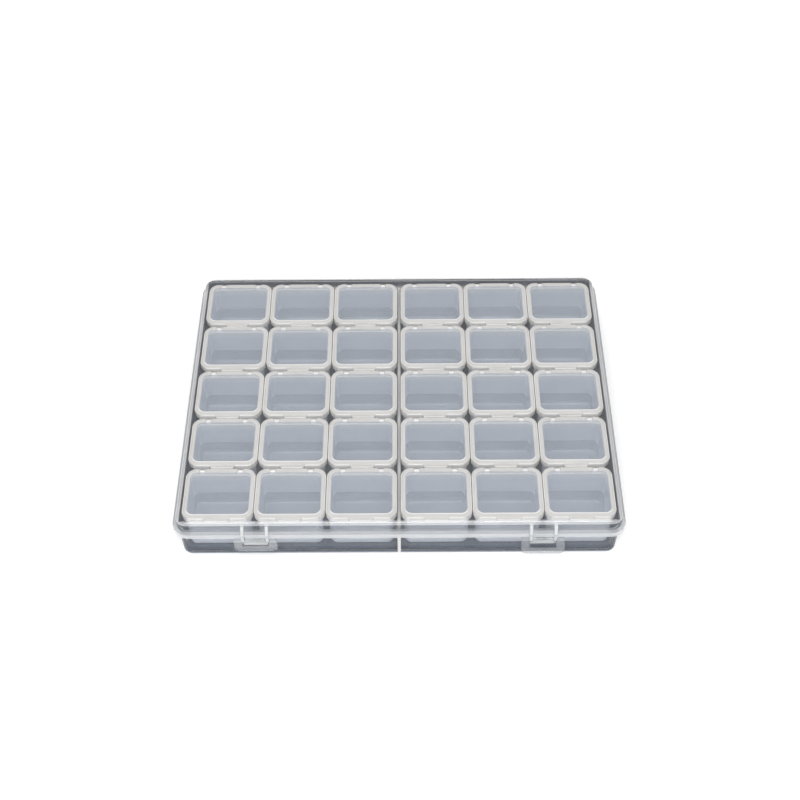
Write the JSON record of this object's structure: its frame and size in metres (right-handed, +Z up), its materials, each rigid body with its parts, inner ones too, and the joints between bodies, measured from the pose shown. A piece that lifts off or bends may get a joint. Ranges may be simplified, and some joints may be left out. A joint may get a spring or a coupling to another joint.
{
  "type": "compartment craft organizer",
  "caption": "Flat see-through hinged case with front latches, holding a grid of small removable flip-top boxes for beads and other craft bits.",
  "frame": {"origin": "on the table, under the middle of the case", "axes": "+X across the front to the right, +Y from front to back, +Z up"},
  "size_m": [0.214, 0.1719, 0.027],
  "materials": {
    "tray_plastic": "smoke-grey see-through moulded polypropylene",
    "cover_plastic": "clear glossy moulded polypropylene",
    "latch_plastic": "milky grey moulded polypropylene",
    "cup_plastic": "natural milky see-through moulded polypropylene",
    "box_lid_plastic": "clear moulded polypropylene with a milky frame"
  },
  "bodies": {
    "tray": {"case_base": "tray_plastic", "box_cups_back_row": "cup_plastic", "box_cup_r1_c1": "cup_plastic", "box_cup_r1_c2": "cup_plastic", "box_cup_r1_c3": "cup_plastic", "box_cup_r1_c4": "cup_plastic", "box_cup_r1_c5": "cup_plastic", "box_cup_r1_c6": "cup_plastic", "box_cup_r2_c1": "cup_plastic", "box_cup_r2_c2": "cup_plastic", "box_cup_r2_c3": "cup_plastic", "box_cup_r2_c4": "cup_plastic", "box_cup_r2_c5": "cup_plastic", "box_cup_r2_c6": "cup_plastic", "box_cup_r3_c1": "cup_plastic", "box_cup_r3_c2": "cup_plastic", "box_cup_r3_c3": "cup_plastic", "box_cup_r3_c4": "cup_plastic", "box_cup_r3_c5": "cup_plastic", "box_cup_r3_c6": "cup_plastic", "box_cup_r4_c1": "cup_plastic", "box_cup_r4_c2": "cup_plastic", "box_cup_r4_c3": "cup_plastic", "box_cup_r4_c4": "cup_plastic", "box_cup_r4_c5": "cup_plastic", "box_cup_r4_c6": "cup_plastic"},
    "cover": {"case_lid": "cover_plastic"},
    "latch_left": {"latch_left": "latch_plastic"},
    "latch_right": {"latch_right": "latch_plastic"},
    "box_lid_r1_c1": {"box_lid_r1_c1": "box_lid_plastic"},
    "box_lid_r1_c2": {"box_lid_r1_c2": "box_lid_plastic"},
    "box_lid_r1_c3": {"box_lid_r1_c3": "box_lid_plastic"},
    "box_lid_r1_c4": {"box_lid_r1_c4": "box_lid_plastic"},
    "box_lid_r1_c5": {"box_lid_r1_c5": "box_lid_plastic"},
    "box_lid_r1_c6": {"box_lid_r1_c6": "box_lid_plastic"},
    "box_lid_r2_c1": {"box_lid_r2_c1": "box_lid_plastic"},
    "box_lid_r2_c2": {"box_lid_r2_c2": "box_lid_plastic"},
    "box_lid_r2_c3": {"box_lid_r2_c3": "box_lid_plastic"},
    "box_lid_r2_c4": {"box_lid_r2_c4": "box_lid_plastic"},
    "box_lid_r2_c5": {"box_lid_r2_c5": "box_lid_plastic"},
    "box_lid_r2_c6": {"box_lid_r2_c6": "box_lid_plastic"},
    "box_lid_r3_c1": {"box_lid_r3_c1": "box_lid_plastic"},
    "box_lid_r3_c2": {"box_lid_r3_c2": "box_lid_plastic"},
    "box_lid_r3_c3": {"box_lid_r3_c3": "box_lid_plastic"},
    "box_lid_r3_c4": {"box_lid_r3_c4": "box_lid_plastic"},
    "box_lid_r3_c5": {"box_lid_r3_c5": "box_lid_plastic"},
    "box_lid_r3_c6": {"box_lid_r3_c6": "box_lid_plastic"},
    "box_lid_r4_c1": {"box_lid_r4_c1": "box_lid_plastic"},
    "box_lid_r4_c2": {"box_lid_r4_c2": "box_lid_plastic"},
    "box_lid_r4_c3": {"box_lid_r4_c3": "box_lid_plastic"},
    "box_lid_r4_c4": {"box_lid_r4_c4": "box_lid_plastic"},
    "box_lid_r4_c5": {"box_lid_r4_c5": "box_lid_plastic"},
    "box_lid_r4_c6": {"box_lid_r4_c6": "box_lid_plastic"},
    "box_lid_r5_c1": {"box_lid_r5_c1": "box_lid_plastic"},
    "box_lid_r5_c2": {"box_lid_r5_c2": "box_lid_plastic"},
    "box_lid_r5_c3": {"box_lid_r5_c3": "box_lid_plastic"},
    "box_lid_r5_c4": {"box_lid_r5_c4": "box_lid_plastic"},
    "box_lid_r5_c5": {"box_lid_r5_c5": "box_lid_plastic"},
    "box_lid_r5_c6": {"box_lid_r5_c6": "box_lid_plastic"}
  },
  "joints": [
    {"name": "case_hinge", "type": "hinge", "parent": "tray", "child": "cover", "pos_m": [0, 0.0831, 0.0192], "axis": [-1, 0, 0], "range_deg": [0, 180]},
    {"name": "latch_left_pivot", "type": "hinge", "parent": "cover", "child": "latch_left", "pos_m": [-0.0678, -0.0826, 0.0168], "axis": [-1, 0, 0], "range_deg": [-5.5, 95]},
    {"name": "latch_right_pivot", "type": "hinge", "parent": "cover", "child": "latch_right", "pos_m": [0.0678, -0.0826, 0.0168], "axis": [-1, 0, 0], "range_deg": [-34, 66.5]},
    {"name": "box_r1_c1_hinge", "type": "hinge", "parent": "tray", "child": "box_lid_r1_c1", "pos_m": [-0.0858, -0.048, 0.024], "axis": [-1, 0, 0], "range_deg": [0, 108]},
    {"name": "box_r1_c2_hinge", "type": "hinge", "parent": "tray", "child": "box_lid_r1_c2", "pos_m": [-0.0518, -0.048, 0.024], "axis": [-1, 0, 0], "range_deg": [0, 108]},
    {"name": "box_r1_c3_hinge", "type": "hinge", "parent": "tray", "child": "box_lid_r1_c3", "pos_m": [-0.0178, -0.048, 0.024], "axis": [-1, 0, 0], "range_deg": [0, 108]},
    {"name": "box_r1_c4_hinge", "type": "hinge", "parent": "tray", "child": "box_lid_r1_c4", "pos_m": [0.0178, -0.048, 0.024], "axis": [-1, 0, 0], "range_deg": [0, 108]},
    {"name": "box_r1_c5_hinge", "type": "hinge", "parent": "tray", "child": "box_lid_r1_c5", "pos_m": [0.0518, -0.048, 0.024], "axis": [-1, 0, 0], "range_deg": [0, 108]},
    {"name": "box_r1_c6_hinge", "type": "hinge", "parent": "tray", "child": "box_lid_r1_c6", "pos_m": [0.0858, -0.048, 0.024], "axis": [-1, 0, 0], "range_deg": [0, 108]},
    {"name": "box_r2_c1_hinge", "type": "hinge", "parent": "tray", "child": "box_lid_r2_c1", "pos_m": [-0.0858, -0.0169, 0.024], "axis": [-1, 0, 0], "range_deg": [0, 108]},
    {"name": "box_r2_c2_hinge", "type": "hinge", "parent": "tray", "child": "box_lid_r2_c2", "pos_m": [-0.0518, -0.0169, 0.024], "axis": [-1, 0, 0], "range_deg": [0, 108]},
    {"name": "box_r2_c3_hinge", "type": "hinge", "parent": "tray", "child": "box_lid_r2_c3", "pos_m": [-0.0178, -0.0169, 0.024], "axis": [-1, 0, 0], "range_deg": [0, 108]},
    {"name": "box_r2_c4_hinge", "type": "hinge", "parent": "tray", "child": "box_lid_r2_c4", "pos_m": [0.0178, -0.0169, 0.024], "axis": [-1, 0, 0], "range_deg": [0, 108]},
    {"name": "box_r2_c5_hinge", "type": "hinge", "parent": "tray", "child": "box_lid_r2_c5", "pos_m": [0.0518, -0.0169, 0.024], "axis": [-1, 0, 0], "range_deg": [0, 108]},
    {"name": "box_r2_c6_hinge", "type": "hinge", "parent": "tray", "child": "box_lid_r2_c6", "pos_m": [0.0858, -0.0169, 0.024], "axis": [-1, 0, 0], "range_deg": [0, 108]},
    {"name": "box_r3_c1_hinge", "type": "hinge", "parent": "tray", "child": "box_lid_r3_c1", "pos_m": [-0.0858, 0.0142, 0.024], "axis": [-1, 0, 0], "range_deg": [0, 108]},
    {"name": "box_r3_c2_hinge", "type": "hinge", "parent": "tray", "child": "box_lid_r3_c2", "pos_m": [-0.0518, 0.0142, 0.024], "axis": [-1, 0, 0], "range_deg": [0, 108]},
    {"name": "box_r3_c3_hinge", "type": "hinge", "parent": "tray", "child": "box_lid_r3_c3", "pos_m": [-0.0178, 0.0142, 0.024], "axis": [-1, 0, 0], "range_deg": [0, 108]},
    {"name": "box_r3_c4_hinge", "type": "hinge", "parent": "tray", "child": "box_lid_r3_c4", "pos_m": [0.0178, 0.0142, 0.024], "axis": [-1, 0, 0], "range_deg": [0, 108]},
    {"name": "box_r3_c5_hinge", "type": "hinge", "parent": "tray", "child": "box_lid_r3_c5", "pos_m": [0.0518, 0.0142, 0.024], "axis": [-1, 0, 0], "range_deg": [0, 108]},
    {"name": "box_r3_c6_hinge", "type": "hinge", "parent": "tray", "child": "box_lid_r3_c6", "pos_m": [0.0858, 0.0142, 0.024], "axis": [-1, 0, 0], "range_deg": [0, 108]},
    {"name": "box_r4_c1_hinge", "type": "hinge", "parent": "tray", "child": "box_lid_r4_c1", "pos_m": [-0.0858, 0.0453, 0.024], "axis": [-1, 0, 0], "range_deg": [0, 108]},
    {"name": "box_r4_c2_hinge", "type": "hinge", "parent": "tray", "child": "box_lid_r4_c2", "pos_m": [-0.0518, 0.0453, 0.024], "axis": [-1, 0, 0], "range_deg": [0, 108]},
    {"name": "box_r4_c3_hinge", "type": "hinge", "parent": "tray", "child": "box_lid_r4_c3", "pos_m": [-0.0178, 0.0453, 0.024], "axis": [-1, 0, 0], "range_deg": [0, 108]},
    {"name": "box_r4_c4_hinge", "type": "hinge", "parent": "tray", "child": "box_lid_r4_c4", "pos_m": [0.0178, 0.0453, 0.024], "axis": [-1, 0, 0], "range_deg": [0, 108]},
    {"name": "box_r4_c5_hinge", "type": "hinge", "parent": "tray", "child": "box_lid_r4_c5", "pos_m": [0.0518, 0.0453, 0.024], "axis": [-1, 0, 0], "range_deg": [0, 108]},
    {"name": "box_r4_c6_hinge", "type": "hinge", "parent": "tray", "child": "box_lid_r4_c6", "pos_m": [0.0858, 0.0453, 0.024], "axis": [-1, 0, 0], "range_deg": [0, 108]},
    {"name": "box_r5_c1_hinge", "type": "hinge", "parent": "tray", "child": "box_lid_r5_c1", "pos_m": [-0.0858, 0.0764, 0.024], "axis": [-1, 0, 0], "range_deg": [0, 108]},
    {"name": "box_r5_c2_hinge", "type": "hinge", "parent": "tray", "child": "box_lid_r5_c2", "pos_m": [-0.0518, 0.0764, 0.024], "axis": [-1, 0, 0], "range_deg": [0, 108]},
    {"name": "box_r5_c3_hinge", "type": "hinge", "parent": "tray", "child": "box_lid_r5_c3", "pos_m": [-0.0178, 0.0764, 0.024], "axis": [-1, 0, 0], "range_deg": [0, 108]},
    {"name": "box_r5_c4_hinge", "type": "hinge", "parent": "tray", "child": "box_lid_r5_c4", "pos_m": [0.0178, 0.0764, 0.024], "axis": [-1, 0, 0], "range_deg": [0, 108]},
    {"name": "box_r5_c5_hinge", "type": "hinge", "parent": "tray", "child": "box_lid_r5_c5", "pos_m": [0.0518, 0.0764, 0.024], "axis": [-1, 0, 0], "range_deg": [0, 108]},
    {"name": "box_r5_c6_hinge", "type": "hinge", "parent": "tray", "child": "box_lid_r5_c6", "pos_m": [0.0858, 0.0764, 0.024], "axis": [-1, 0, 0], "range_deg": [0, 108]}
  ],
  "couplings": [
    {"joint": "box_r1_c1_hinge", "follows": "case_hinge", "ratio": 0.6},
    {"joint": "box_r1_c2_hinge", "follows": "case_hinge", "ratio": 0.6},
    {"joint": "box_r1_c3_hinge", "follows": "case_hinge", "ratio": 0.6},
    {"joint": "box_r1_c4_hinge", "follows": "case_hinge", "ratio": 0.6},
    {"joint": "box_r1_c5_hinge", "follows": "case_hinge", "ratio": 0.6},
    {"joint": "box_r1_c6_hinge", "follows": "case_hinge", "ratio": 0.6},
    {"joint": "box_r2_c1_hinge", "follows": "case_hinge", "ratio": 0.6},
    {"joint": "box_r2_c2_hinge", "follows": "case_hinge", "ratio": 0.6},
    {"joint": "box_r2_c3_hinge", "follows": "case_hinge", "ratio": 0.6},
    {"joint": "box_r2_c4_hinge", "follows": "case_hinge", "ratio": 0.6},
    {"joint": "box_r2_c5_hinge", "follows": "case_hinge", "ratio": 0.6},
    {"joint": "box_r2_c6_hinge", "follows": "case_hinge", "ratio": 0.6},
    {"joint": "box_r3_c1_hinge", "follows": "case_hinge", "ratio": 0.6},
    {"joint": "box_r3_c2_hinge", "follows": "case_hinge", "ratio": 0.6},
    {"joint": "box_r3_c3_hinge", "follows": "case_hinge", "ratio": 0.6},
    {"joint": "box_r3_c4_hinge", "follows": "case_hinge", "ratio": 0.6},
    {"joint": "box_r3_c5_hinge", "follows": "case_hinge", "ratio": 0.6},
    {"joint": "box_r3_c6_hinge", "follows": "case_hinge", "ratio": 0.6},
    {"joint": "box_r4_c1_hinge", "follows": "case_hinge", "ratio": 0.6},
    {"joint": "box_r4_c2_hinge", "follows": "case_hinge", "ratio": 0.6},
    {"joint": "box_r4_c3_hinge", "follows": "case_hinge", "ratio": 0.6},
    {"joint": "box_r4_c4_hinge", "follows": "case_hinge", "ratio": 0.6},
    {"joint": "box_r4_c5_hinge", "follows": "case_hinge", "ratio": 0.6},
    {"joint": "box_r4_c6_hinge", "follows": "case_hinge", "ratio": 0.6},
    {"joint": "box_r5_c1_hinge", "follows": "case_hinge", "ratio": 0.6},
    {"joint": "box_r5_c2_hinge", "follows": "case_hinge", "ratio": 0.6},
    {"joint": "box_r5_c3_hinge", "follows": "case_hinge", "ratio": 0.6},
    {"joint": "box_r5_c4_hinge", "follows": "case_hinge", "ratio": 0.6},
    {"joint": "box_r5_c5_hinge", "follows": "case_hinge", "ratio": 0.6},
    {"joint": "box_r5_c6_hinge", "follows": "case_hinge", "ratio": 0.6}
  ]
}
